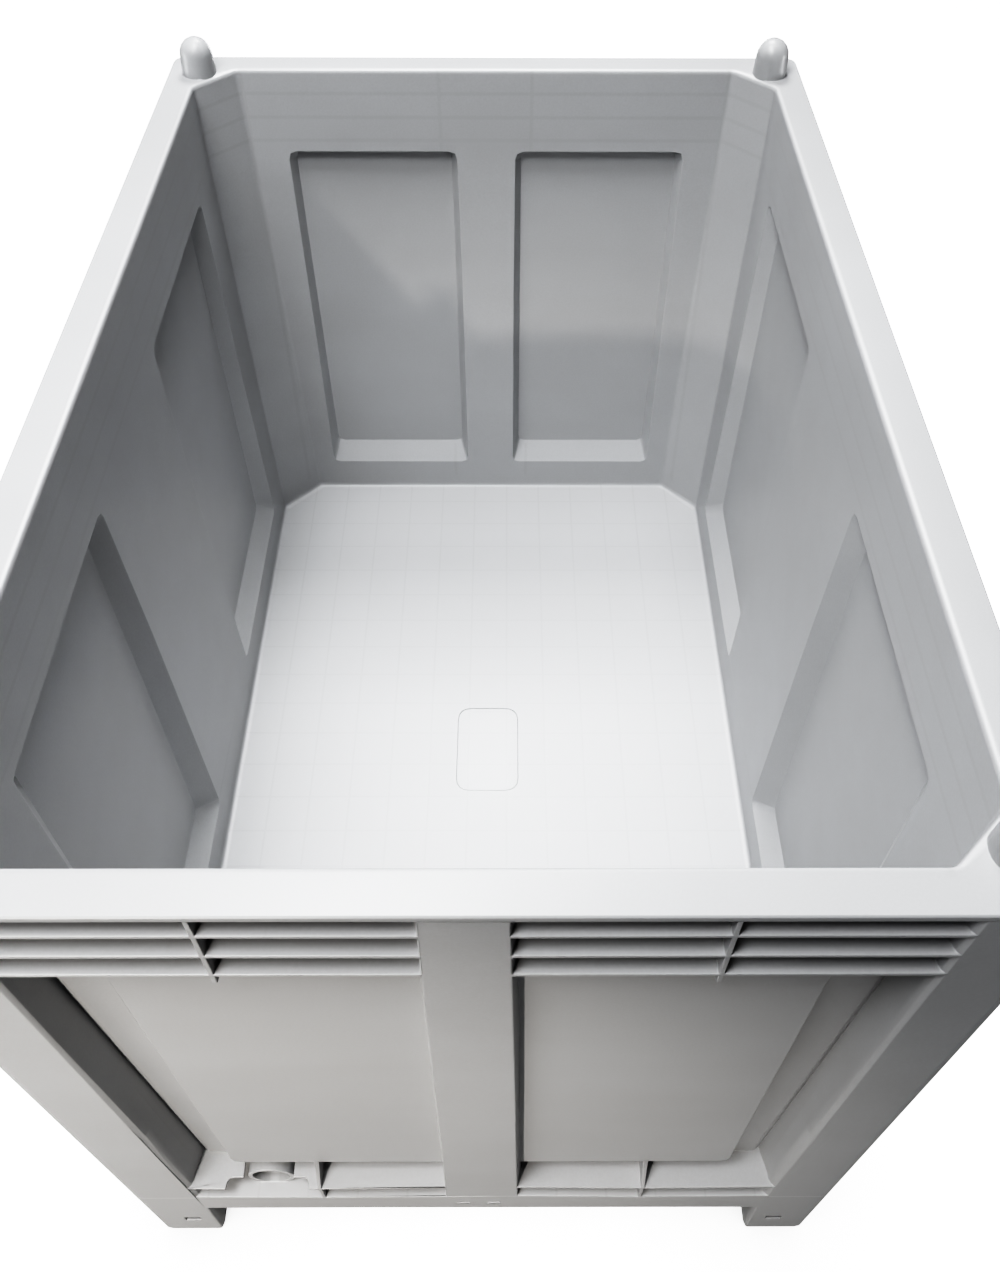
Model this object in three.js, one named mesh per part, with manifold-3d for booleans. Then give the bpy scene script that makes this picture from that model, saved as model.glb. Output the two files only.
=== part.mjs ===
// Pallet box: a light grey container moulded in one piece, open at the top,
// standing on four hollow corner feet so that forks can go under it.
//
// Axes: X runs across the short sides, Y along the long sides, Z up. The origin
// is the middle of the footprint, on the ground.
import * as THREE from 'three';
import { mergeVertices } from 'three/addons/utils/BufferGeometryUtils.js';
import Module from 'manifold-3d';

// Outside
const WIDTH = 800;              // short side, over the rim
const LENGTH = 1200;            // long side, over the rim
const RIM_Z = 850;              // top face of the rim
const RIM_T = 7;                // depth of the rim's outer lip
const RIM_WIDTH = 37;           // width of the rim's top face
const RIM_CORNER_R = 14;        // outer corner of the rim, in plan
const RIM_EDGE_R = 1.8;         // rounding of the rim's outer edges
const RIM_INNER_R = 6;          // rounding of the rim's inner edge
const SIDE_INSET = 8;           // long faces stand back this far under the rim
const END_INSET = 0.6;          // and short faces this far
const SIDE_DRAFT = 5;           // a long face leans in by this from rim to ground
const END_DRAFT = 2;            // a short face leans in by this from rim to ground
const BODY_CORNER_R = 12;       // upright outer corners

// Base, from the ground up
const FORK_GAP = 102.5;         // clear height between the feet
const RAIL_HEIGHT = 47;         // base rail
const RAIL_SKIN = 4;            // its upright skin and its top flange
const SHELF_RISE = 37.5;        // ledge that runs round above the rail
const SHELF_T = 4;
const FLOOR_DROP = 1.5;         // floor lies this far under the rail's top face
const FLOOR_T = 5;

// Inside
const WALL = 5;                 // thickness of the wall sheet
const FLOOR_FILLET = 8;
const INSIDE_DRAFT = 9;         // the inside narrows by this on each side, rim to floor
const INSIDE_CHAMFER_TOP = 46;  // bevelled upright corners, at the rim
const INSIDE_CHAMFER_LOW = 56;  // and at the floor
const INSIDE_CORNER_R = 10;
const GATE_PAD = { x: 87, y: 142, r: 20, proud: 0.8 };  // at the middle of the floor

// Bulged wall panels, two to a side: a recess inside, a plateau outside
const PANEL_SILL = 15;          // sill's lower edge over the shelf
const PANEL_SILL_RISE = 30;     // height of the sloping sill
const PANEL_UNDER_RIM = 106;    // panel's top edge under the rim
const PANEL_BACK = 24;          // inner face of a panel, in from the outside of the rim
const PANEL_CORNER_R = 11;
const END_PANEL = { near: 38, margin: 96, run: 9 };     // near the middle, and from the corner
const SIDE_PANEL = { near: 122, margin: 126, run: 28 };

// Stiffening ribs under the rim
const RIB_COUNT = 3;
const RIB_T = 4;
const RIB_UNDER_RIM = 28;       // top face of the highest rib, under the rim's top
const RIB_PITCH = 30.5;

// Hollow corner columns and middle pillars; low and high are the widths below
// and above the stretch where they narrow
const SKIN = 4.5;
const COLUMN_NARROWS = { from: 370, to: 640 };
const COLUMN_X = { low: 87, high: 70 };          // width of a column's short face
const COLUMN_Y = { low: 111, high: 94 };         // width of a column's long face
const COLUMN_ROOT_PAST = 3.5;                    // flank's root, past the wall's bevel
const COLUMN_FLANK_DRAFT = 5;                    // lean of a column's long-side flank
const COLUMN_EDGE_R = 9;
const PILLAR_NARROWS = { from: 370, to: 430 };
const PILLAR_EDGE_R = 4;
const END_PILLAR = { face: { low: 39, high: 29.5 }, root: { low: 66, high: 60 } };
const SIDE_PILLAR = { face: { low: 119, high: 110 }, root: { low: 133, high: 128 } };
const PILLAR_WEB_Y = 38;        // webs inside the long sides' pillars
const PILLAR_WEB_T = 3.5;

// Feet
const FOOT_X = { low: 86, high: 90 };     // width from the rim's outside, at the ground and rail
const FOOT_Y = { low: 110, high: 114 };
const FOOT_SKIN = 3.5;
const FOOT_CORNER_R = 8;
const FOOT_SOLE_R = 1.8;        // rounding round the sole
const SLOT = { fromSide: 59, z: 50, width: 18, height: 13 };

// Stacking domes, which go up into the hollow feet of the box above
const DOME_IN_X = 39.5;         // from the outside of the rim
const DOME_IN_Y = 46;
const DOME_R = 21.3;
const DOME_TOP_R = 20;
const DOME_HEIGHT = 42.5;
const DOME_WALL = 4;

// Web plates in each bay
const WEB_T = 4;
const WEB_TO_COLUMN_X = 138.5;  // from the web to the column, on the short sides
const WEB_TO_COLUMN_Y = 209;    // and on the long sides
const WEB_UNDER_RIM = 105;      // lower end of the web across the ribs
const GUSSET_RISE = 53;         // tip of the small gusset over the shelf

// Ribs under the floor: a pair each side of the middle, then one every pitch
const FLOOR_RIB_T = 3.5;
const FLOOR_RIB_FIRST_X = 27.5;
const FLOOR_RIB_FIRST_Y = 27;
const FLOOR_RIB_PITCH_X = 110;
const FLOOR_RIB_PITCH_Y = 108;
const FLOOR_RIB_MARGIN = 40;    // no rib nearer to the rail than this

// Blind outlet boss, low in the left bay of one short side
const OUTLET = { toColumn: 81.5, rise: 22, r: 25.5, bore: 20.5, setBack: 19, membrane: 6.5 };
const OUTLET_NOTCH = { width: 86, depth: 12, gap: 1.5, corner: 6 };

// Two raised pads low on the middle pillar of each short side
const PAD = { xs: [-21.3, 13], rise: 23, width: 14, height: 5, proud: 0.8 };

// Sizes that follow from those above
const INSIDE_X = WIDTH / 2 - RIM_WIDTH;
const INSIDE_Y = LENGTH / 2 - RIM_WIDTH;
const RAIL_TOP = FORK_GAP + RAIL_HEIGHT;
const SHELF_TOP = RAIL_TOP + SHELF_RISE;
const FLOOR_TOP = RAIL_TOP - FLOOR_DROP;
const FLOOR_UNDER = FLOOR_TOP - FLOOR_T;
const PANEL_LOW_FRONT = SHELF_TOP + PANEL_SILL;
const PANEL_LOW_BACK = PANEL_LOW_FRONT + PANEL_SILL_RISE;
const PANEL_TOP = RIM_Z - PANEL_UNDER_RIM;

const wasm = await Module();
wasm.setup();

const lerp = THREE.MathUtils.lerp;

// Turn a closed three.js geometry into a solid that can be joined and cut.
function toSolid(geometry) {
  const g = geometry.clone();
  g.deleteAttribute('normal');
  g.deleteAttribute('uv');
  const merged = mergeVertices(g, 1e-4);
  return new wasm.Manifold(new wasm.Mesh({
    numProp: 3,
    vertProperties: new Float32Array(merged.attributes.position.array),
    triVerts: new Uint32Array(merged.index.array),
  }));
}

function toGeometry(solid) {
  const mesh = solid.getMesh();
  const g = new THREE.BufferGeometry();
  g.setAttribute('position', new THREE.BufferAttribute(new Float32Array(mesh.vertProperties), 3));
  g.setIndex(new THREE.BufferAttribute(new Uint32Array(mesh.triVerts), 1));
  g.computeVertexNormals();
  return g;
}

const join = (solids) => solids.reduce((sum, s) => sum.add(s));
const cut = (solid, tools) => tools.reduce((rest, s) => rest.subtract(s), solid);

// A skin over a stack of rings. Each ring is a list of [x, y, z] with the same
// number of points; flat gives the two axes in which the end rings are flat.
function loft(rings, flat = [0, 1]) {
  const n = rings[0].length;
  const positions = rings.flat(2);
  const index = [];
  for (let k = 0; k + 1 < rings.length; k += 1) {
    for (let i = 0; i < n; i += 1) {
      const j = (i + 1) % n;
      const a = k * n + i;
      const b = k * n + j;
      index.push(a, b, b + n, a, b + n, a + n);
    }
  }
  for (const [ring, base, last] of [[rings[0], 0, false], [rings.at(-1), n * (rings.length - 1), true]]) {
    const outline = ring.map((p) => new THREE.Vector2(p[flat[0]], p[flat[1]]));
    const anticlockwise = !THREE.ShapeUtils.isClockWise(outline);
    for (const [i, j, k] of THREE.ShapeUtils.triangulateShape(outline, [])) {
      const along = (turnOf(outline[i], outline[j], outline[k]) > 0) === anticlockwise;
      index.push(base + i, ...(along === last ? [base + j, base + k] : [base + k, base + j]));
    }
  }
  const g = new THREE.BufferGeometry();
  g.setAttribute('position', new THREE.Float32BufferAttribute(positions, 3));
  g.setIndex(index);
  if (volumeOf(g) < 0) {
    for (let i = 0; i < index.length; i += 3) {
      [index[i + 1], index[i + 2]] = [index[i + 2], index[i + 1]];
    }
    g.setIndex(index);
  }
  return toSolid(g);
}

function turnOf(p, q, r) {
  return (q.x - p.x) * (r.y - p.y) - (q.y - p.y) * (r.x - p.x);
}

function volumeOf(geometry) {
  const p = geometry.attributes.position;
  const ix = geometry.index.array;
  const [a, b, c] = [new THREE.Vector3(), new THREE.Vector3(), new THREE.Vector3()];
  let sum = 0;
  for (let i = 0; i < ix.length; i += 3) {
    a.fromBufferAttribute(p, ix[i]);
    b.fromBufferAttribute(p, ix[i + 1]);
    c.fromBufferAttribute(p, ix[i + 2]);
    sum += a.dot(b.cross(c));
  }
  return sum / 6;
}

// Round the corners of a plan outline. Each corner is [x, y, radius].
function rounded(corners, steps = 2) {
  const out = [];
  const n = corners.length;
  corners.forEach(([x, y, r = 0], i) => {
    const here = new THREE.Vector2(x, y);
    if (r <= 0) {
      out.push([x, y]);
      return;
    }
    const before = new THREE.Vector2(...corners[(i + n - 1) % n]).sub(here);
    const after = new THREE.Vector2(...corners[(i + 1) % n]).sub(here);
    const half = Math.acos(before.clone().normalize().dot(after.clone().normalize())) / 2;
    const back = Math.min(r / Math.tan(half), 0.49 * before.length(), 0.49 * after.length());
    const start = here.clone().addScaledVector(before.normalize(), back);
    const end = here.clone().addScaledVector(after.normalize(), back);
    for (let k = 0; k <= steps; k += 1) {
      const t = k / steps;
      const p = start.clone().multiplyScalar((1 - t) ** 2)
        .addScaledVector(here, 2 * t * (1 - t))
        .addScaledVector(end, t ** 2);
      out.push([p.x, p.y]);
    }
  });
  return out;
}

const atZ = (outline, z) => outline.map(([x, y]) => [x, y, z]);
const mirror = (ring, sx, sy) => ring.map(([x, y, z]) => [x * sx, y * sy, z]);

function box(x0, x1, y0, y1, z0, z1) {
  const g = new THREE.BoxGeometry(x1 - x0, y1 - y0, z1 - z0);
  g.translate((x0 + x1) / 2, (y0 + y1) / 2, (z0 + z1) / 2);
  return toSolid(g);
}

// Half sizes of the drafted faces at a height.
const sideX = (z) => WIDTH / 2 - SIDE_INSET - SIDE_DRAFT * (RIM_Z - z) / RIM_Z;
const endY = (z) => LENGTH / 2 - END_INSET - END_DRAFT * (RIM_Z - z) / RIM_Z;
const insideShare = (z) => (RIM_Z - z) / (RIM_Z - FLOOR_TOP);
const insideX = (z) => INSIDE_X - INSIDE_DRAFT * insideShare(z);
const insideY = (z) => INSIDE_Y - INSIDE_DRAFT * insideShare(z);
const sheetX = (z) => insideX(z) + WALL;
const sheetY = (z) => insideY(z) + WALL;
const insideChamfer = (z) => lerp(INSIDE_CHAMFER_TOP, INSIDE_CHAMFER_LOW, insideShare(z));
const share = (z, low, high) => THREE.MathUtils.clamp((z - low) / (high - low), 0, 1);
const between = (ends, t) => lerp(ends.low, ends.high, t);

// Rectangle with bevelled upright corners, grown outwards by grow.
function bevelled(z, grow, radius) {
  const hx = insideX(z) + grow;
  const hy = insideY(z) + grow;
  const c = insideChamfer(z) + grow * (2 - Math.SQRT2);
  return atZ(rounded([
    [hx, -hy + c, radius], [hx, hy - c, radius], [hx - c, hy, radius], [-hx + c, hy, radius],
    [-hx, hy - c, radius], [-hx, -hy + c, radius], [-hx + c, -hy, radius], [hx - c, -hy, radius],
  ]), z);
}

function plate(hxOf, hyOf, radius, levels) {
  return loft(levels.map(([z, grow]) => {
    const hx = hxOf(z) + grow;
    const hy = hyOf(z) + grow;
    return atZ(rounded([
      [hx, -hy, radius], [hx, hy, radius], [-hx, hy, radius], [-hx, -hy, radius],
    ], 3), z);
  }));
}

// Wall sheet and floor, and the room inside them.
const tub = loft([
  bevelled(FLOOR_UNDER, WALL, INSIDE_CORNER_R),
  bevelled(RIM_Z - 1, WALL, INSIDE_CORNER_R),
]);

const room = loft([
  bevelled(FLOOR_TOP, -FLOOR_FILLET, INSIDE_CORNER_R / 2),
  bevelled(FLOOR_TOP + FLOOR_FILLET * 0.3, -FLOOR_FILLET * 0.3, INSIDE_CORNER_R * 0.8),
  bevelled(FLOOR_TOP + FLOOR_FILLET, 0, INSIDE_CORNER_R),
  bevelled(RIM_Z - RIM_INNER_R, 0, INSIDE_CORNER_R),
  bevelled(RIM_Z - RIM_INNER_R * 0.3, RIM_INNER_R * 0.3, INSIDE_CORNER_R),
  bevelled(RIM_Z, RIM_INNER_R, INSIDE_CORNER_R),
  bevelled(RIM_Z + 60, RIM_INNER_R, INSIDE_CORNER_R),
]);

const rim = plate(() => WIDTH / 2, () => LENGTH / 2, RIM_CORNER_R, [
  [RIM_Z - RIM_T, -RIM_EDGE_R / 2],
  [RIM_Z - RIM_T + RIM_EDGE_R / 2, 0],
  [RIM_Z - RIM_EDGE_R, 0],
  [RIM_Z - RIM_EDGE_R * 0.3, -RIM_EDGE_R * 0.3],
  [RIM_Z, -RIM_EDGE_R],
]);

// Ribs, shelf, rail, columns, pillars and feet are made a little too big, by
// OVER, and trimmed to the outer faces together.
const OVER = 1.2;
const UNDER_RIM = RIM_Z - RIM_T + 3;
const bandPlate = (z0, z1) => plate(sideX, endY, BODY_CORNER_R, [[z0, OVER], [z1, OVER]]);

const ribs = [];
for (let k = 0; k < RIB_COUNT; k += 1) {
  const top = RIM_Z - RIB_UNDER_RIM - k * RIB_PITCH;
  ribs.push(bandPlate(top - RIB_T, top));
}
const shelf = bandPlate(SHELF_TOP - SHELF_T, SHELF_TOP);
const railFlange = bandPlate(RAIL_TOP - RAIL_SKIN, RAIL_TOP);
const railSkirt = cut(bandPlate(FORK_GAP - OVER, RAIL_TOP - 1), [
  plate(sideX, endY, BODY_CORNER_R - RAIL_SKIN, [
    [FORK_GAP - 2 * OVER, -RAIL_SKIN], [RAIL_TOP, -RAIL_SKIN],
  ]),
]);

const outletX = -(WIDTH / 2 - COLUMN_X.low - OUTLET.toColumn);
const outletZ = FLOOR_TOP + OUTLET.rise;

// The shelf opens round the outlet boss: a wide, shallow bite with a deeper one
// in its middle.
const outletNotch = (() => {
  const y = endY(SHELF_TOP);
  const w = OUTLET_NOTCH.width / 2;
  const v = OUTLET.r + OUTLET_NOTCH.gap;
  const r = OUTLET_NOTCH.corner;
  const mid = -y + OUTLET_NOTCH.depth;
  const outline = rounded([
    [outletX - w - 3, -y - 5], [outletX + w + 3, -y - 5],
    [outletX + w, mid, r], [outletX + v, mid], [outletX + v, -sheetY(SHELF_TOP) + 1],
    [outletX - v, -sheetY(SHELF_TOP) + 1], [outletX - v, mid], [outletX - w, mid, r],
  ], 3);
  return loft([atZ(outline, SHELF_TOP - SHELF_T - 1), atZ(outline, SHELF_TOP + 1)]);
})();

// Corner columns: an L round the bevelled corner of the wall sheet.
const sheetChamfer = (z) => insideChamfer(z) + WALL * (2 - Math.SQRT2);
function columnRing(z, inset) {
  const t = share(z, COLUMN_NARROWS.from, COLUMN_NARROWS.to);
  const X = sideX(z) - inset;
  const Y = endY(z) - inset;
  const skin = Math.max(inset, 0);
  const ex = WIDTH / 2 - between(COLUMN_X, t) + skin;
  const ey = LENGTH / 2 - between(COLUMN_Y, t) + skin;
  const bevel = sheetChamfer(z);
  const rx = sheetX(z) - bevel + COLUMN_ROOT_PAST + skin;
  const ry = ey - COLUMN_FLANK_DRAFT;
  const edge = COLUMN_EDGE_R - skin;
  const sunk = skin > 0 ? 0 : WALL / 2;
  const rootY = sheetY(z) - Math.max(rx - (sheetX(z) - bevel), 0);
  return atZ(rounded([
    [X, ey, edge], [X, Y, BODY_CORNER_R - skin], [ex, Y, edge], [rx, rootY - 2 * sunk],
    [sheetX(z) - sunk, sheetY(z) - bevel - sunk], [sheetX(z) - sunk, ry],
  ], 3), z);
}

const corners = [[1, 1], [-1, 1], [-1, -1], [1, -1]];
const columnLevels = [COLUMN_NARROWS.from, COLUMN_NARROWS.to];
const columns = corners.map(([sx, sy]) => loft(
  [RAIL_TOP - 12, ...columnLevels, UNDER_RIM].map((z) => mirror(columnRing(z, -OVER), sx, sy)),
));
const columnCores = corners.map(([sx, sy]) => loft(
  [FLOOR_UNDER - 1, ...columnLevels, RIM_Z - RIM_T].map(
    (z) => mirror(columnRing(z, SKIN), sx, sy),
  ),
));

// Middle pillars, as hollow troughs open at the bottom.
function pillar(size, outerOf, sheetOf, turn) {
  const ring = (z, outer, sheet, skin) => {
    const t = share(z, PILLAR_NARROWS.from, PILLAR_NARROWS.to);
    const face = between(size.face, t) - skin;
    const root = (skin > 0 ? face + SKIN : between(size.root, t));
    const r = Math.max(PILLAR_EDGE_R - skin, 0.6);
    return rounded([[-root, -sheet], [-face, -outer, r], [face, -outer, r], [root, -sheet]])
      .map(([u, v]) => turn(u, v, z));
  };
  const middle = [PILLAR_NARROWS.from, PILLAR_NARROWS.to];
  const solid = loft([FORK_GAP - OVER, ...middle, UNDER_RIM].map(
    (z) => ring(z, outerOf(z) + OVER, sheetOf(z) - WALL / 2, 0),
  ));
  const core = loft([FORK_GAP - 2 * OVER, ...middle, RIM_Z - RIM_T].map(
    (z) => ring(z, outerOf(z) - SKIN, sheetOf(z), SKIN),
  ));
  return [solid, core];
}
const pillars = [
  pillar(END_PILLAR, endY, sheetY, (u, v, z) => [u, v, z]),
  pillar(END_PILLAR, endY, sheetY, (u, v, z) => [-u, -v, z]),
  pillar(SIDE_PILLAR, sideX, sheetX, (u, v, z) => [v, -u, z]),
  pillar(SIDE_PILLAR, sideX, sheetX, (u, v, z) => [-v, u, z]),
];

const pillarWebs = [];
for (const sx of [1, -1]) {
  for (const y of [-PILLAR_WEB_Y, PILLAR_WEB_Y]) {
    const ring = (z) => mirror([
      [sheetX(z) - WALL / 2, y - PILLAR_WEB_T / 2, z], [sideX(z) - SKIN / 2, y - PILLAR_WEB_T / 2, z],
      [sideX(z) - SKIN / 2, y + PILLAR_WEB_T / 2, z], [sheetX(z) - WALL / 2, y + PILLAR_WEB_T / 2, z],
    ], sx, 1);
    pillarWebs.push(loft([ring(FORK_GAP), ring(RIM_Z - RIM_T + 1)]));
  }
}

// Bulged panels: the same frustum twice, grown by the wall thickness outside.
const PANEL_SUNK = 12;
function panel(span, half, half2, wallOf, side, turn) {
  const depth = half - PANEL_BACK;
  const ring = (near, far, low, high, out, grow) => rounded([
    [near - grow, low - grow, PANEL_CORNER_R], [far + grow, low - grow, PANEL_CORNER_R],
    [far + grow, high + grow, PANEL_CORNER_R], [near - grow, high + grow, PANEL_CORNER_R],
  ]).map(([u, z]) => turn(u * side, typeof out === 'function' ? out(z) : out, z));
  const frustum = (grow) => {
    const { near, run } = span;
    const far = half2 - RIM_WIDTH - span.margin;
    const wall = (z) => wallOf(z) + grow;
    const back = depth + grow;
    const sunk = PANEL_SUNK / (back - wall(PANEL_LOW_FRONT));
    const lead = (a, b) => a - (b - a) * sunk;
    const deep = (z) => wall(z) - PANEL_SUNK;
    return loft([
      ring(lead(near, near + run), lead(far, far - run), lead(PANEL_LOW_FRONT, PANEL_LOW_BACK),
        lead(PANEL_TOP, PANEL_TOP - 4), deep, grow),
      ring(near + run, far - run, PANEL_LOW_BACK, PANEL_TOP - 4, back, grow),
    ], turn === alongX ? [0, 2] : [1, 2]);
  };
  return [frustum(WALL), frustum(0)];
}
const alongX = (u, v, z) => [u, v, z];
const alongY = (u, v, z) => [v, u, z];
const panels = [];
for (const end of [1, -1]) {
  for (const side of [1, -1]) {
    panels.push(panel(END_PANEL, LENGTH / 2, WIDTH / 2, insideY, side, alongX).map(
      (s) => (end > 0 ? s : s.mirror([0, 1, 0])),
    ));
    panels.push(panel(SIDE_PANEL, WIDTH / 2, LENGTH / 2, insideX, side, alongY).map(
      (s) => (end > 0 ? s : s.mirror([1, 0, 0])),
    ));
  }
}

// Web plates across the ribs, and the gussets on the shelf.
function webs(outerOf, sheetOf, at, turn) {
  const webLow = RIM_Z - WEB_UNDER_RIM;
  const gussetTop = SHELF_TOP + GUSSET_RISE;
  const outlineTop = [
    [outerOf(webLow) + OVER, webLow + 2], [outerOf(RIM_Z) + OVER, UNDER_RIM],
    [sheetOf(RIM_Z) - 3, UNDER_RIM], [sheetOf(RIM_Z) - 3, webLow - 8],
  ];
  const outlineLow = [
    [outerOf(RAIL_TOP) + OVER, RAIL_TOP - 1], [outerOf(SHELF_TOP) + OVER, SHELF_TOP - OVER],
    [sheetOf(gussetTop) + 18, gussetTop], [sheetOf(gussetTop) - 3, gussetTop],
    [sheetOf(RAIL_TOP) - 3, RAIL_TOP - 1],
  ];
  return [outlineTop, outlineLow].map((outline) => loft([
    outline.map(([v, z]) => turn(at - WEB_T / 2, v, z)),
    outline.map(([v, z]) => turn(at + WEB_T / 2, v, z)),
  ], turn(0, 1, 0)[1] === 0 ? [0, 2] : [1, 2]));
}
const endWebX = WIDTH / 2 - COLUMN_X.low - WEB_TO_COLUMN_X;
const sideWebY = LENGTH / 2 - COLUMN_Y.low - WEB_TO_COLUMN_Y;
const webPlates = [];
for (const side of [1, -1]) {
  for (const end of [1, -1]) {
    webPlates.push(...webs(endY, sheetY, side * endWebX, (u, v, z) => [u, v * end, z]));
    webPlates.push(...webs(sideX, sheetX, side * sideWebY, (u, v, z) => [v * end, u, z]));
  }
}

// Feet: hollow blocks, open underneath.
function footRing(z, skin, over) {
  const t = share(z, 0, FORK_GAP);
  const x0 = WIDTH / 2 - between(FOOT_X, t) + skin;
  const y0 = LENGTH / 2 - between(FOOT_Y, t) + skin;
  const X = sideX(z) - skin + over;
  const Y = endY(z) - skin + over;
  const r = Math.max(FOOT_CORNER_R - skin, 1);
  const corner = Math.max(BODY_CORNER_R - skin, 1);
  return atZ(rounded([[X, y0, r], [X, Y, corner], [x0, Y, r], [x0, y0, r]]), z);
}
const footTop = FLOOR_TOP - FLOOR_T / 2;
const feet = corners.map(([sx, sy]) => loft([
  mirror(footRing(0, FOOT_SOLE_R, OVER), sx, sy), mirror(footRing(FOOT_SOLE_R, 0, OVER), sx, sy),
  mirror(footRing(footTop, 0, OVER), sx, sy),
]));
const footCores = corners.map(([sx, sy]) => loft([-1, FLOOR_UNDER].map(
  (z) => mirror(footRing(z, FOOT_SKIN, 0), sx, sy),
)));
const slots = [];
for (const [sx, sy] of corners) {
  const x = (WIDTH / 2 - SLOT.fromSide) * sx;
  const y = endY(SLOT.z) * sy;
  slots.push(box(x - SLOT.width / 2, x + SLOT.width / 2, y - FOOT_SKIN * 2,
    y + FOOT_SKIN * 2, SLOT.z - SLOT.height / 2, SLOT.z + SLOT.height / 2));
}

// Ribs under the floor, level with the bottom of the rail.
const ribSpanX = sideX(FORK_GAP) - RAIL_SKIN / 2;
const ribSpanY = endY(FORK_GAP) - RAIL_SKIN / 2;
const ribPlaces = (span, first, pitch) => {
  const count = 1 + Math.floor((span - FLOOR_RIB_MARGIN - first) / pitch);
  const half = Array.from({ length: count }, (_, k) => first + k * pitch);
  return [...half, ...half.map((place) => -place)];
};
const ribTop = FLOOR_UNDER + FLOOR_T / 2;
const floorRibs = [
  ...ribPlaces(ribSpanX, FLOOR_RIB_FIRST_X, FLOOR_RIB_PITCH_X).map((x) => box(
    x - FLOOR_RIB_T / 2, x + FLOOR_RIB_T / 2, -ribSpanY, ribSpanY, FORK_GAP - OVER, ribTop,
  )),
  ...ribPlaces(ribSpanY, FLOOR_RIB_FIRST_Y, FLOOR_RIB_PITCH_Y).map((y) => box(
    -ribSpanX, ribSpanX, y - FLOOR_RIB_T / 2, y + FLOOR_RIB_T / 2, FORK_GAP - OVER, ribTop,
  )),
];

// Pad where the plastic entered the mould, at the middle of the floor.
const gatePad = (() => {
  const { x, y, r, proud } = GATE_PAD;
  const outline = rounded([[x / 2, -y / 2, r], [x / 2, y / 2, r], [-x / 2, y / 2, r], [-x / 2, -y / 2, r]], 4);
  return loft([atZ(outline, FLOOR_TOP - FLOOR_T / 2), atZ(outline, FLOOR_TOP + proud)]);
})();

// Stacking domes on the rim's corners.
function domeProfile(base, top, z0, zTop, steps) {
  const points = [new THREE.Vector2(0, z0), new THREE.Vector2(base, z0)];
  const springZ = zTop - top;
  for (let k = 0; k < steps; k += 1) {
    const a = (k / steps) * Math.PI / 2;
    points.push(new THREE.Vector2(top * Math.cos(a), springZ + top * Math.sin(a)));
  }
  points.push(new THREE.Vector2(0, zTop));
  return points;
}
function dome(points, segments, sx, sy) {
  const g = new THREE.LatheGeometry(points, segments);
  g.rotateX(Math.PI / 2);
  g.translate((WIDTH / 2 - DOME_IN_X) * sx, (LENGTH / 2 - DOME_IN_Y) * sy, 0);
  return toSolid(g);
}
const domes = corners.map(([sx, sy]) => dome(
  domeProfile(DOME_R, DOME_TOP_R, RIM_Z - RIM_T + 0.5, RIM_Z + DOME_HEIGHT, 5), 24, sx, sy,
));
const domeCores = corners.map(([sx, sy]) => dome(
  domeProfile(DOME_R - DOME_WALL, DOME_TOP_R - DOME_WALL, RIM_Z - RIM_T - 1,
    RIM_Z + DOME_HEIGHT - DOME_WALL, 3), 16, sx, sy,
));

// Outlet boss: a short blind tube that stands out from the wall sheet.
function tubeAlongY(r, y0, y1, segments) {
  const g = new THREE.CylinderGeometry(r, r, y1 - y0, segments);
  g.translate(outletX, (y0 + y1) / 2, outletZ);
  return toSolid(g);
}
const outletFace = LENGTH / 2 - OUTLET.setBack;
const outletBoss = tubeAlongY(OUTLET.r, -outletFace, -sheetY(outletZ) + WALL / 2, 32);
const outletBore = tubeAlongY(
  OUTLET.bore, -outletFace - 1, -insideY(outletZ) - OUTLET.membrane, 28,
);

const padZ = FORK_GAP + PAD.rise;
const pads = [];
for (const end of [1, -1]) {
  for (const x of PAD.xs) {
    const y = endY(padZ);
    const [y0, y1] = end > 0 ? [y - 1, y + PAD.proud] : [-y - PAD.proud, -y + 1];
    pads.push(box(x * -end - PAD.width / 2, x * -end + PAD.width / 2, y0, y1,
      padZ - PAD.height / 2, padZ + PAD.height / 2));
  }
}

// The outer faces, between the feet only above the rail's underside.
const outerFaces = plate(sideX, endY, BODY_CORNER_R, [
  [0, -FOOT_SOLE_R], [FOOT_SOLE_R, 0], [UNDER_RIM - 1, 0],
]);
const aboveForks = box(-WIDTH, WIDTH, -LENGTH, LENGTH, FORK_GAP, RIM_Z);
const envelope = outerFaces.intersect(join([aboveForks, ...feet]));

const skinned = join([
  join([
    tub, ...ribs, cut(shelf, [outletNotch]), railFlange, railSkirt, ...columns,
    ...pillars.map(([solid]) => solid), ...panels.map(([outer]) => outer), ...webPlates,
    ...feet, ...floorRibs, outletBoss,
  ]).intersect(envelope),
  rim, ...pads,
]);
const hollowed = cut(skinned, [
  room, ...panels.map(([, inner]) => inner), ...columnCores,
  ...pillars.map(([, core]) => core), ...footCores, ...slots, outletBore,
]);
const boxBody = cut(join([hollowed, ...domes, ...pillarWebs, gatePad]), domeCores);

const polyethylene = new THREE.MeshStandardMaterial({
  color: 0xc9cbcd,
  roughness: 0.5,
  metalness: 0,
});
const body = new THREE.Mesh(toGeometry(boxBody), polyethylene);
body.name = 'box_body';

const palletBox = new THREE.Group();
palletBox.add(body);

export default palletBox;
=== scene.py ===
import math

import bmesh
import bpy
from mathutils import Matrix, Vector


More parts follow.
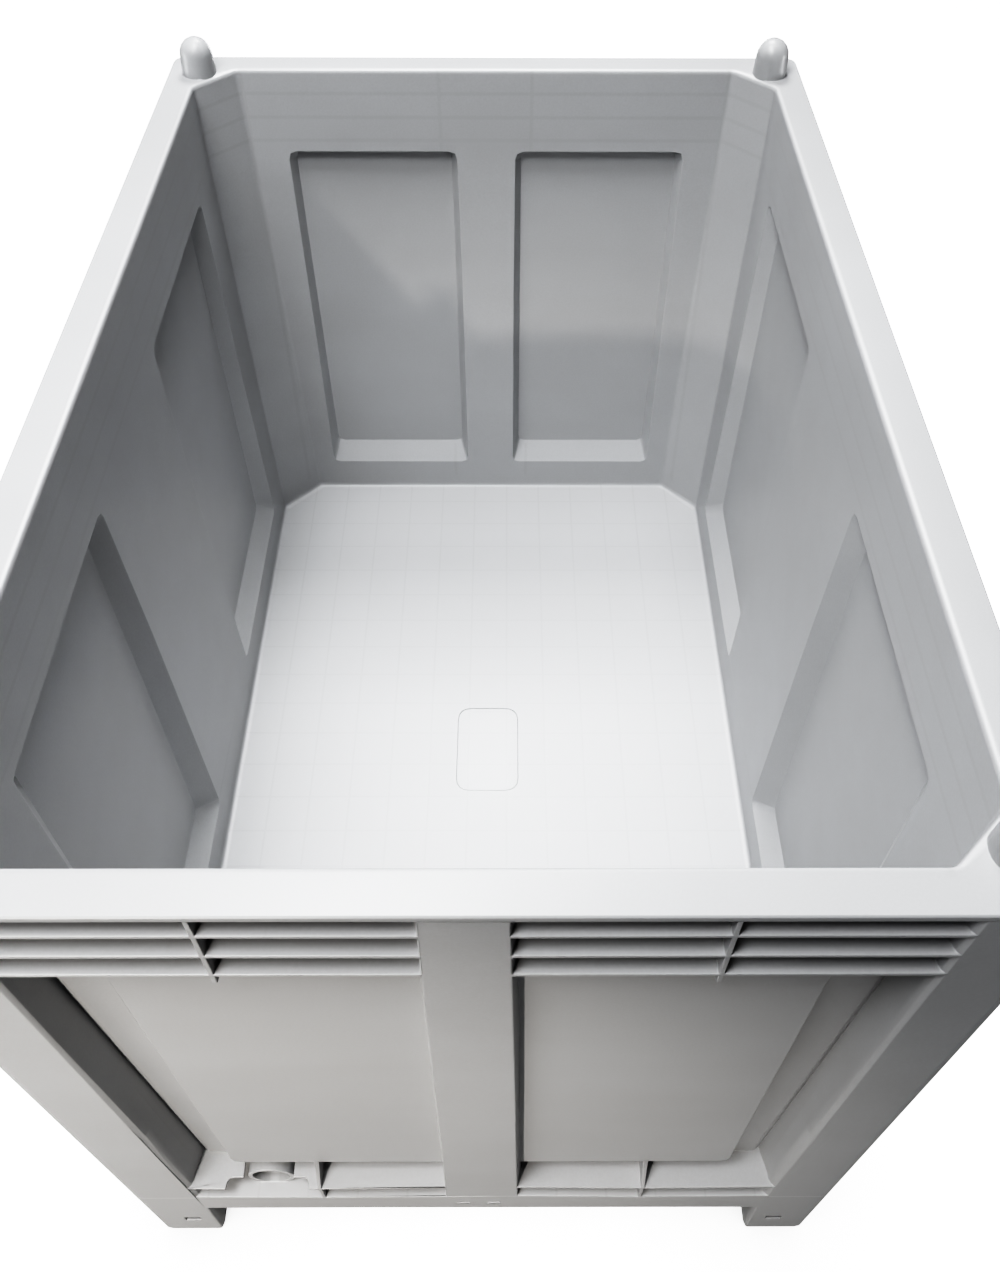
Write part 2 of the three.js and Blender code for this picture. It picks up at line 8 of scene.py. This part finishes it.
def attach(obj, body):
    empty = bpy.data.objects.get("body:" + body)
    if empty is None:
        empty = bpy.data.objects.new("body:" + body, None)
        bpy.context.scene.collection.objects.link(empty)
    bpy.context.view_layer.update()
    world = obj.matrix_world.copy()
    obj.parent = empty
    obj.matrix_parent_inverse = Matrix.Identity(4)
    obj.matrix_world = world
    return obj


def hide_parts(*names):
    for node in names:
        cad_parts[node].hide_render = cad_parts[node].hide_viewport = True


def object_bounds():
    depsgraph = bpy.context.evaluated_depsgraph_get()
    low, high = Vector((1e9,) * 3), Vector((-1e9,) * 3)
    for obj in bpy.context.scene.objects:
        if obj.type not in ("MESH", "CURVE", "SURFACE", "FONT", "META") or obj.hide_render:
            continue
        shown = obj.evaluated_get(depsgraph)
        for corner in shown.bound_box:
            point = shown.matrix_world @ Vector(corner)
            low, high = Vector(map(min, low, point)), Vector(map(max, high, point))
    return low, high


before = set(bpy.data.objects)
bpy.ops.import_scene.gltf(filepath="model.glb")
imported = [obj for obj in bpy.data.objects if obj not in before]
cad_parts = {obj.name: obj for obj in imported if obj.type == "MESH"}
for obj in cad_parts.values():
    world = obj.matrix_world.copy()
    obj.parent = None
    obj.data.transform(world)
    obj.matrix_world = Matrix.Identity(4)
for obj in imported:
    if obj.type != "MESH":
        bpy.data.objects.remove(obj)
cad_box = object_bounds()

# The photograph's camera, in metres and degrees
IMAGE_W, IMAGE_H = 1000, 1272
FOCAL_PX = 1124.3
CENTRE_PX = (512.2, 650.7)
CAMERA_AT = Vector((0.0272, -0.9102, 1.4971))
PITCH, YAW, ROLL = 51.03, 0.462, -0.348
SENSOR = 36.0

# Sizes of the box that the finish follows, in metres
FLOOR_Z = 0.148
RIM_Z = 0.850
FLOOR_MARK_X = (0.0275, 0.055)       # first sink mark from the middle, and the pitch
FLOOR_MARK_Y = (0.027, 0.054)
FLOOR_MARK_HALF = 0.0012
LEVEL_HALF, LEVEL_SOFT = 0.0015, 0.001  # what counts as being on the floor, or on one plane
RIB_LEVELS = (0.820, 0.7895, 0.759)  # middles of the ribs outside, which sink the wall inside
RIB_MARK_HALF = 0.0022
INSIDE_X, INSIDE_Y = 0.372, 0.572    # the marks stay nearer to the middle than this
END_WALL_Y = 0.535                   # the short walls' inner faces start here
ROOT_MARKS_FROM = (0.020, 0.030)     # above the floor, where the roots' marks fade in
COLUMN_MARK_X = 0.312
PILLAR_MARK_X = 0.060
RIM_SHADE_BAND = (0.0012, 0.0004)          # below the top face, where the painted shade starts and is full
GATE_GLOSS_X = (0.020, 0.035)        # half width of the glossy patch on the gate pad, and its fade
GATE_GLOSS_Y = (0.045, 0.045)

# Skin of the moulding
GREY_LIGHT = (0.475, 0.480, 0.486, 1.0)
GREY_DULL = (0.435, 0.437, 0.440, 1.0)
GREY_FLOOR_PAINTED_LIGHT = (0.540, 0.543, 0.548, 1.0)      # painted light: the floor drawn lighter than the rest, in place of more light reaching it
GREY_RIM_PAINTED_SHADE = (0.330, 0.332, 0.335, 1.0)        # painted shade: the topmost faces drawn darker, in place of less light falling on them
PLASTIC_IOR = 1.5
BUMP_STRENGTH, BUMP_DEPTH = 0.6, 0.0009

# The studio: what only the camera sees of the paper and the sky keeps the background white
PAPER_DULL = (0.43, 0.43, 0.43, 1.0)
PAPER_LIGHT = (0.45, 0.45, 0.45, 1.0)
PAPER_ROUGHNESS = 0.8
PAPER_SEEN = 4.4
PAPER_SHADE_REACH = 0.16     # nearer to the box than this, the paper's glow fades out as a painted contact shadow
PAPER_HALF = 12.0
PAPER_Z = -0.0005
SKY_LIGHT, SKY_SEEN = 0.03, 6.0     # as a lamp, and what the camera sees on top of it
SKY_WHITE = (1.0, 1.0, 1.0, 1.0)
BOX_MIDDLE = (0.0, 0.0, 0.1)
COOL, WARM = (0.985, 0.99, 1.0), (1.0, 0.955, 0.90)
SUN_WIDTH = math.radians(22)
SOFT_BOXES = (                # name, place, watts, size
    ("back_box", (0.0, 1.5, 2.8), 84, 0.8),
    ("front_box", (-0.6, -1.0, 2.6), 60, 0.6),
    ("top_box", (-0.25, 0.1, 2.3), 38, 0.5),
)
SUNS = (                      # name, place, strength
    ("overhead", (0.0, 0.0, 3.0), 1.5),
    ("sun", (-1.2, -1.2, 2.5), 0.85),
)
FILLS = (                     # low lamps for the sides that the photograph doesn't show
    ("right_fill", (2.3, 0.1, 0.5)),
    ("left_fill", (-2.3, 0.1, 0.5)),
    ("back_fill", (0.2, 2.6, 0.5)),
)
FILL_POWER, FILL_SIZE, FILL_AIM_Z = 42, 0.7, 0.4
SPOT_AT, SPOT_TO = (-0.84, -2.42, 1.50), (-0.27, -0.6, 0.34)
SPOT_POWER, SPOT_WIDTH, SPOT_RADIUS = 300, math.radians(38), 0.04

# Softening of the edges, in metres and degrees
MERGE = 0.00015              # corners closer than this become one
FLAT_WITHIN = 0.6
EDGE_RADIUS = 0.0009
EDGE_STEPS = 2
EDGE_SHARPER_THAN = 32
EDGE_SHALLOW = 12            # enough between two broad faces
BROAD = 0.007                # a face's area over its longest edge
LEAN_MOST = 0.5              # cosine, past which two faces don't share a corner's normal

# The flanks' upright reach, the wall's lean over its height, its recesses and the gate pad
STRAIGHT = (0.1495, 0.843)
STRAIGHT_SLACK = 0.0005
WALL_DRAFT = 0.009
SHEET_SLACK = 0.001
RECESS_PAST_SHEET = 0.008    # how far out the backs of the panels' recesses lie
RECESS_SLACK = 0.0006
PAD_REACH = (0.06, 0.09)
PAD_HEIGHT = 0.0015
PAD_KEPT = 0.12              # of the gate pad's height
ROUND_REACH = 1.15           # of an edge's radius, within which a point belongs to its rounding

# Flanks of the columns and pillars. The solid's flanks bend between the two levels of "bent",
# and the photograph's are straight over STRAIGHT. Pairs are for the lower and the upper end.
# "old" and "new" are the distances of the flank's outer edge from the middle plane in the solid
# and in the photograph, and the roots are how much farther out the flank meets the wall's
# sheet. Points between "from" and "to" are moved: in proportion where it is "scaled", with the
# root left in place where "root_stays" is set. The edge's rounding of "radius" grows "wider".
NO_ROOT = (0, 0)
FLANKS = (
    {"on": "end", "sheet": 0.568, "face": 0.5990, "bent": (0.370, 0.640),
     "from": 0.285, "to": 0.365, "old": (0.313, 0.330), "new": (0.313, 0.326),
     "old_root": NO_ROOT, "new_root": NO_ROOT,
     "root_stays": True, "scaled": False, "radius": 0.009, "wider": 1.6},
    {"on": "side", "sheet": 0.368, "face": 0.3900, "bent": (0.370, 0.640),
     "from": 0.478, "to": 0.535, "old": (0.489, 0.506), "new": (0.489, 0.503),
     "old_root": NO_ROOT, "new_root": NO_ROOT,
     "root_stays": False, "scaled": False, "radius": 0.009, "wider": 1.6},
    {"on": "end", "sheet": 0.568, "face": 0.5990, "bent": (0.370, 0.430),
     "from": 0.008, "to": 0.070, "old": (0.0390, 0.0295), "new": (0.0390, 0.0275),
     "old_root": (0.027, 0.0305), "new_root": (0.007, 0.013),
     "root_stays": False, "scaled": True, "radius": 0.004, "wider": 1.9},
    {"on": "side", "sheet": 0.368, "face": 0.3900, "bent": (0.370, 0.430),
     "from": 0.095, "to": 0.136, "old": (0.119, 0.110), "new": (0.119, 0.110),
     "old_root": (0.014, 0.018), "new_root": (0.014, 0.018),
     "root_stays": False, "scaled": False, "radius": 0.004, "wider": 1.9},
)

# Response of the photograph's camera: level = TOP * light**CONTRAST / (light**CONTRAST + 1)
CONTRAST = 2.35
TOP = 1.02
WHITE_AT = 4.8
CURVE_POINTS = 12

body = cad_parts["box_body"]


class Socket:
    """A shader socket that takes part in sums, so that an expression adds its Math nodes."""

    def __init__(self, tree, link):
        self.tree = tree
        self.link = link

    def maths(self, operation, *values):
        node = self.tree.add("ShaderNodeMath", {"operation": operation}, *values)
        return Socket(self.tree, node.outputs[0])

    def __add__(self, other):
        return self.maths("ADD", self, other)

    __radd__ = __add__

    def __sub__(self, other):
        return self.maths("SUBTRACT", self, other)

    def __rsub__(self, other):
        return self.maths("SUBTRACT", other, self)

    def __mul__(self, other):
        return self.maths("MULTIPLY", self, other)

    __rmul__ = __mul__

    def clamp(self):
        return self.maths("MINIMUM", self.maths("MAXIMUM", self, 0.0), 1.0)

    def abs(self):
        return self.maths("ABSOLUTE", self)

    def above(self, low, high):
        """0 below low, 1 above high, smooth in between."""
        settings = {"interpolation_type": "SMOOTHSTEP"}
        node = self.tree.add("ShaderNodeMapRange", settings, self, low, high, 0.0, 1.0)
        return Socket(self.tree, node.outputs[0])

    def below(self, high, soft):
        """1 up to high, falling to 0 over soft."""
        return 1.0 - self.above(high, high + soft)

    def close_to(self, centre, half, soft):
        """1 within half of centre, falling to 0 over soft."""
        return (self - centre).abs().below(half, soft)

    def from_nearest(self, first, pitch):
        """Distance to the nearest of the lines at first, first + pitch and so on, both ways."""
        return self.maths("PINGPONG", self - first, pitch / 2)


class Finish:
    """A material made of procedural nodes."""

    def __init__(self, name):
        self.material = bpy.data.materials.new(name)
        self.material.use_nodes = True
        self.nodes = self.material.node_tree.nodes
        self.shader = self.nodes["Principled BSDF"]

    def add(self, kind, settings=None, *values, **named):
        node = self.nodes.new(kind)
        for key, value in (settings or {}).items():
            setattr(node, key, value)
        for key, value in list(enumerate(values)) + list(named.items()):
            self.plug(node.inputs[key], value)
        return node

    def plug(self, socket, value):
        if isinstance(value, Socket):
            self.material.node_tree.links.new(value.link, socket)
        elif isinstance(value, bpy.types.NodeSocket):
            self.material.node_tree.links.new(value, socket)
        elif value is not None:
            socket.default_value = value

    def place(self):
        """Object coordinates, as one vector and as three numbers."""
        vector = self.add("ShaderNodeTexCoord").outputs["Object"]
        split = self.add("ShaderNodeSeparateXYZ", None, vector)
        return vector, [Socket(self, split.outputs[i]) for i in range(3)]

    def noise(self, vector, scale, detail=2.0, roughness=0.5):
        node = self.add("ShaderNodeTexNoise", None, Vector=vector, Scale=scale, Detail=detail,
                        Roughness=roughness)
        return Socket(self, node.outputs["Fac"])

    def stretched(self, vector, scale):
        node = self.add("ShaderNodeMapping", None, Vector=vector, Scale=scale)
        return node.outputs["Vector"]

    def mix(self, factor, a, b):
        node = self.add("ShaderNodeMix", {"data_type": "RGBA"})
        self.plug(node.inputs["Factor"], factor)
        self.plug(node.inputs[6], a)
        self.plug(node.inputs[7], b)
        return node.outputs[2]


def line(distance, half):
    """1 on a mark's middle, falling softly to 0, and one half at its edge."""
    return 1.0 - distance.above(half * 0.3, half * 1.7)


def sink_marks(x, y, z):
    """Shallow lines inside the box, where ribs and flanks stand on the other side of the sheet."""
    on_floor = z.close_to(FLOOR_Z, LEVEL_HALF, LEVEL_SOFT)
    across = line(x.from_nearest(*FLOOR_MARK_X), FLOOR_MARK_HALF)
    along = line(y.from_nearest(*FLOOR_MARK_Y), FLOOR_MARK_HALF)
    grid = across.maths("MAXIMUM", across, along)
    inside = x.abs().below(INSIDE_X, LEVEL_SOFT) * y.abs().below(INSIDE_Y, LEVEL_SOFT)
    bands = sum(line((z - level).abs(), RIB_MARK_HALF) for level in RIB_LEVELS)
    on_end = y.abs().above(END_WALL_Y, END_WALL_Y + LEVEL_SOFT) * z.above(
        *(FLOOR_Z + rise for rise in ROOT_MARKS_FROM))
    roots = line((x.abs() - COLUMN_MARK_X).abs(), RIB_MARK_HALF) + line(
        (x.abs() - PILLAR_MARK_X).abs(), RIB_MARK_HALF)
    return grid * on_floor, inside * (bands + roots * on_end * 0.8)


def polyethylene():
    """Light grey moulded plastic: faint cloudiness, fine grain, sink marks over the ribs, painted
    light on the floor, and painted shade along the marks and on the topmost faces.
    """
    f = Finish("moulded_polyethylene")
    at, (x, y, z) = f.place()
    cloud = f.noise(at, 3.0, 3.0, 0.55)
    flow = f.noise(f.stretched(at, (3.0, 14.0, 14.0)), 1.0, 2.0, 0.5)
    speckle = f.noise(at, 420.0, 2.0, 0.6)
    grain = f.noise(at, 900.0, 2.0, 0.7)
    waves = f.noise(at, 16.0, 2.0, 0.5)
    on_floor, on_walls = sink_marks(x, y, z)
    marks = (on_floor + on_walls).clamp()
    # Painted shade: the tone is drawn darker along the sink marks, in place of the shade in their
    # shallow dents.
    tone = (cloud * 0.5 + flow * 0.2 + speckle * 0.3).above(0.3, 0.7) - marks * 0.5
    floor = z.close_to(FLOOR_Z, LEVEL_HALF, LEVEL_SOFT)
    painted_rim_shade = z.above(*(RIM_Z - depth for depth in RIM_SHADE_BAND))
    pad = x.close_to(0.0, *GATE_GLOSS_X) * y.close_to(0.0, *GATE_GLOSS_Y) * floor
    colour = f.mix(tone.clamp(), GREY_DULL, GREY_LIGHT)
    # Painted light: the floor is drawn lighter, a little less along the sink marks.
    colour = f.mix(floor * (0.75 - marks * 0.20), colour, GREY_FLOOR_PAINTED_LIGHT)
    # Painted shade: the topmost faces are drawn darker.
    f.plug(f.shader.inputs["Base Color"], f.mix(painted_rim_shade * 0.4, colour, GREY_RIM_PAINTED_SHADE))
    rough = 0.30 + cloud * 0.12 + speckle * 0.06 - marks * 0.04 - pad * 0.03
    f.plug(f.shader.inputs["Roughness"], rough)
    f.shader.inputs["IOR"].default_value = PLASTIC_IOR
    height = grain * 0.03 + speckle * 0.04 + waves * 0.5 - marks * 0.08
    bump = f.add("ShaderNodeBump", None, Strength=BUMP_STRENGTH, Distance=BUMP_DEPTH,
                 Height=height)
    f.plug(f.shader.inputs["Normal"], bump.outputs["Normal"])
    return f.material


def share(value, low, high):
    """How far value has come from low to high, from 0 to 1."""
    return min(max((value - low) / (high - low), 0.0), 1.0)


def between(pair, t):
    """The value a share t of the way from the first of the pair to the second."""
    return pair[0] + (pair[1] - pair[0]) * t


def sheet_at(z, at_rim):
    """Where the wall's outer sheet stands at height z."""
    return at_rim - WALL_DRAFT * (1.0 - share(z, FLOOR_Z, RIM_Z))


def widened(offset, corner, radius, factor):
    """A point of a rounded upright edge, pushed away from the edge's sharp corner."""
    near = math.hypot(offset[0] - corner[0], offset[1] - corner[1])
    if near > radius * ROUND_REACH:
        return offset
    return tuple(corner[i] + (offset[i] - corner[i]) * factor for i in range(2))


def tapered(across, out, z, flank):
    """A point of a column's or pillar's flank, moved so that the flank is straight all the way up.

    across and out are its distances from the middle plane, along and square to the face.
    """
    if not flank["from"] < across < flank["to"]:
        return across, out
    depth = share(out, sheet_at(z, flank["sheet"]), flank["face"])
    bent, straight = (share(z, *levels) for levels in (flank["bent"], STRAIGHT))
    old_edge, new_edge = between(flank["old"], bent), between(flank["new"], straight)
    old_root = old_edge + between(flank["old_root"], bent)
    new_root = new_edge + between(flank["new_root"], straight)
    old, new = between((old_root, old_edge), depth), between((new_root, new_edge), depth)
    push = across / old if flank["scaled"] else (depth if flank["root_stays"] else 1.0)
    moved = (across + (new - old) * push, out)
    if depth > 0.5:
        return widened(moved, (new_edge, flank["face"]), flank["radius"], flank["wider"])
    return moved


def straighten(shape):
    """Take the bends out of the columns' and pillars' flanks and calm the gate pad."""
    for v in shape.verts:
        x, y, z = v.co
        above_floor = z - FLOOR_Z
        if abs(x) < PAD_REACH[0] and abs(y) < PAD_REACH[1] and 0 < above_floor < PAD_HEIGHT:
            v.co.z = FLOOR_Z + above_floor * PAD_KEPT
        if not STRAIGHT[0] - STRAIGHT_SLACK < z < STRAIGHT[1] + STRAIGHT_SLACK:
            continue
        for flank in FLANKS:
            first, second = (0, 1) if flank["on"] == "end" else (1, 0)
            across, out = abs(v.co[first]), abs(v.co[second])
            in_recess = abs(out - flank["sheet"] - RECESS_PAST_SHEET) < RECESS_SLACK
            if in_recess or out < sheet_at(z, flank["sheet"]) - SHEET_SLACK:
                continue
            new_across, new_out = tapered(across, out, z, flank)
            v.co[first] = math.copysign(new_across, v.co[first])
            v.co[second] = math.copysign(new_out, v.co[second])


def mark_edges(shape):
    """Weigh the edges to be softened: sharp ones, and shallow ones between two broad faces."""
    weight = shape.edges.layers.float.new("bevel_weight_edge")
    for edge in shape.edges:
        if len(edge.link_faces) != 2:
            continue
        angle = math.degrees(edge.calc_face_angle(0.0))
        broad = all(f.calc_area() / max(e.calc_length() for e in f.edges) > BROAD
                    for f in edge.link_faces)
        if angle > EDGE_SHARPER_THAN or (broad and angle > EDGE_SHALLOW):
            edge[weight] = 1.0


def moulded_normals(mesh):
    """Keep the broad faces flat and let the narrow softened edges carry the turn between them."""
    around = [[] for _ in mesh.vertices]
    for face in mesh.polygons:
        for vertex in face.vertices:
            around[vertex].append((face.normal.copy(), face.area))
    normals = [None] * len(mesh.loops)
    for face in mesh.polygons:
        for loop in face.loop_indices:
            total = Vector((0, 0, 0))
            for normal, area in around[mesh.loops[loop].vertex_index]:
                if normal.dot(face.normal) > LEAN_MOST:
                    total += normal * area
            normals[loop] = total.normalized() if total.length > 0 else face.normal.copy()
    mesh.normals_split_custom_set(normals)


def softened(mesh):
    """A copy of the mesh with its marked edges rounded, kept inside the CAD box."""
    raw = bpy.data.objects.new("box_shell_raw", mesh)
    bpy.context.scene.collection.objects.link(raw)
    bevel = raw.modifiers.new("edges", "BEVEL")
    bevel.width = EDGE_RADIUS
    bevel.segments = EDGE_STEPS
    bevel.limit_method = "WEIGHT"
    bevel.use_clamp_overlap = False
    bevel.loop_slide = False
    bevel.miter_outer = "MITER_SHARP"
    mesh.polygons.foreach_set("use_smooth", [True] * len(mesh.polygons))
    graph = bpy.context.evaluated_depsgraph_get()
    done = bpy.data.meshes.new_from_object(raw.evaluated_get(graph), depsgraph=graph)
    bpy.data.objects.remove(raw)
    low, high = (Vector(c) for c in cad_box)
    for v in done.vertices:
        v.co = Vector(min(max(v.co[i], low[i]), high[i]) for i in range(3))
    return done


def moulded_shell():
    """The CAD solid with every edge softened, as a mould leaves it."""
    shape = bmesh.new()
    shape.from_mesh(body.data)
    bmesh.ops.remove_doubles(shape, verts=shape.verts, dist=MERGE)
    bmesh.ops.dissolve_degenerate(shape, edges=shape.edges, dist=MERGE)
    straighten(shape)
    bmesh.ops.dissolve_limit(shape, angle_limit=math.radians(FLAT_WITHIN), verts=shape.verts,
                             edges=shape.edges)
    mark_edges(shape)
    mesh = bpy.data.meshes.new("box_shell")
    shape.to_mesh(mesh)
    shape.free()
    done = softened(mesh)
    # Split along the shorter diagonal, because a long one can fold a face over a rib pocket.
    triangles = bmesh.new()
    triangles.from_mesh(done)
    bmesh.ops.triangulate(triangles, faces=triangles.faces, quad_method="SHORT_EDGE")
    triangles.to_mesh(done)
    triangles.free()
    moulded_normals(done)
    done.name = "box_shell"
    done.materials.clear()
    done.materials.append(polyethylene())
    shell = bpy.data.objects.new("box_shell", done)
    bpy.context.scene.collection.objects.link(shell)
    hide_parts("box_body")
    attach(shell, "root")


def paper_floor():
    """White paper that glows for the camera alone, so that it reads as plain white, with the glow
    dimmed near the box as a painted contact shadow.
    """
    f = Finish("studio_floor")
    at, _ = f.place()
    shade = f.noise(at, 2.0, 2.0)
    f.plug(f.shader.inputs["Base Color"], f.mix(shade, PAPER_DULL, PAPER_LIGHT))
    f.plug(f.shader.inputs["Roughness"], PAPER_ROUGHNESS + shade * 0.05)
    seen = Socket(f, f.add("ShaderNodeLightPath").outputs["Is Camera Ray"])
    # Painted contact shadow: the glow is dimmed by ambient occlusion near the box.
    painted_shadow_fade = f.add("ShaderNodeAmbientOcclusion", {"samples": 8}, Distance=PAPER_SHADE_REACH)
    f.plug(f.shader.inputs["Emission Color"], seen * Socket(f, painted_shadow_fade.outputs["AO"]))
    f.shader.inputs["Emission Strength"].default_value = PAPER_SEEN
    return f.material


def floor_plane():
    mesh = bpy.data.meshes.new("studio_floor")
    corners = [(i * PAPER_HALF, j * PAPER_HALF, 0) for i, j in ((-1, -1), (1, -1), (1, 1), (-1, 1))]
    mesh.from_pydata(corners, [], [(0, 1, 2, 3)])
    mesh.materials.append(paper_floor())
    plane = bpy.data.objects.new("studio_floor", mesh)
    bpy.context.scene.collection.objects.link(plane)
    plane.location.z = PAPER_Z


def camera():
    """The photograph's camera, turned and shifted as it was fitted."""
    pitch, yaw, roll = (math.radians(a) for a in (PITCH, YAW, ROLL))
    ahead = Vector((math.sin(yaw) * math.cos(pitch), math.cos(yaw) * math.cos(pitch),
                    -math.sin(pitch)))
    level = Vector((math.cos(yaw), -math.sin(yaw), 0.0))
    down = ahead.cross(level)
    right = level * math.cos(roll) + down * math.sin(roll)
    below = down * math.cos(roll) - level * math.sin(roll)
    data = bpy.data.cameras.new("photo_camera")
    data.sensor_fit = "AUTO"
    data.sensor_width = SENSOR
    data.lens = FOCAL_PX * SENSOR / IMAGE_H
    data.shift_x = (IMAGE_W / 2 - CENTRE_PX[0]) / IMAGE_H
    data.shift_y = (CENTRE_PX[1] - IMAGE_H / 2) / IMAGE_H
    data.clip_start, data.clip_end = 0.02, 60.0
    eye = bpy.data.objects.new("photo_camera", data)
    bpy.context.scene.collection.objects.link(eye)
    turn = Matrix((right, -below, -ahead)).transposed()
    eye.matrix_world = Matrix.Translation(CAMERA_AT) @ turn.to_4x4()
    bpy.context.scene.camera = eye


def light(name, kind, at, to, power, colour, **settings):
    """A lamp at one place that shines towards another."""
    data = bpy.data.lights.new(name, kind)
    data.energy = power
    data.color = colour
    for key, value in settings.items():
        setattr(data, key, value)
    made = bpy.data.objects.new(name, data)
    bpy.context.scene.collection.objects.link(made)
    made.location = at
    made.rotation_euler = (Vector(to) - Vector(at)).to_track_quat("-Z", "Y").to_euler()


def sky():
    """Weak light from all around, and a white background for the camera."""
    world = bpy.data.worlds.new("studio")
    world.use_nodes = True
    nodes, links = world.node_tree.nodes, world.node_tree.links
    path = nodes.new("ShaderNodeLightPath")
    strength = nodes.new("ShaderNodeMath")
    strength.operation = "MULTIPLY_ADD"
    strength.inputs[1].default_value = SKY_SEEN
    strength.inputs[2].default_value = SKY_LIGHT
    links.new(path.outputs["Is Camera Ray"], strength.inputs[0])
    links.new(strength.outputs[0], nodes["Background"].inputs["Strength"])
    nodes["Background"].inputs["Color"].default_value = SKY_WHITE
    bpy.context.scene.world = world


def studio_light():
    """Soft boxes and suns from above, low side fills, and a spot on the front's left half."""
    for name, at, power, size in SOFT_BOXES:
        light(name, "AREA", at, BOX_MIDDLE, power, COOL, size=size)
    for name, at, power in SUNS:
        light(name, "SUN", at, (0, 0, 0), power, COOL, angle=SUN_WIDTH)
    for name, at in FILLS:
        aim = (at[0] / 4, at[1] / 4, FILL_AIM_Z)
        light(name, "AREA", at, aim, FILL_POWER, COOL, size=FILL_SIZE)
    light("front_spot", "SPOT", SPOT_AT, SPOT_TO, SPOT_POWER, WARM, spot_size=SPOT_WIDTH,
          spot_blend=1.0, shadow_soft_size=SPOT_RADIUS)


def camera_response():
    """The steep, soft-shouldered tone curve of the photograph's camera."""
    view = bpy.context.scene.view_settings
    view.view_transform = "Standard"
    view.use_curve_mapping = True
    mapping = view.curve_mapping
    mapping.white_level = (WHITE_AT,) * 3
    curve = mapping.curves[3]
    for step in range(1, CURVE_POINTS):
        along = (step / CURVE_POINTS) ** 2
        bright = (along * WHITE_AT) ** CONTRAST
        curve.points.new(along, TOP * bright / (bright + 1.0))
    mapping.update()


moulded_shell()
floor_plane()
camera()
sky()
studio_light()
camera_response()
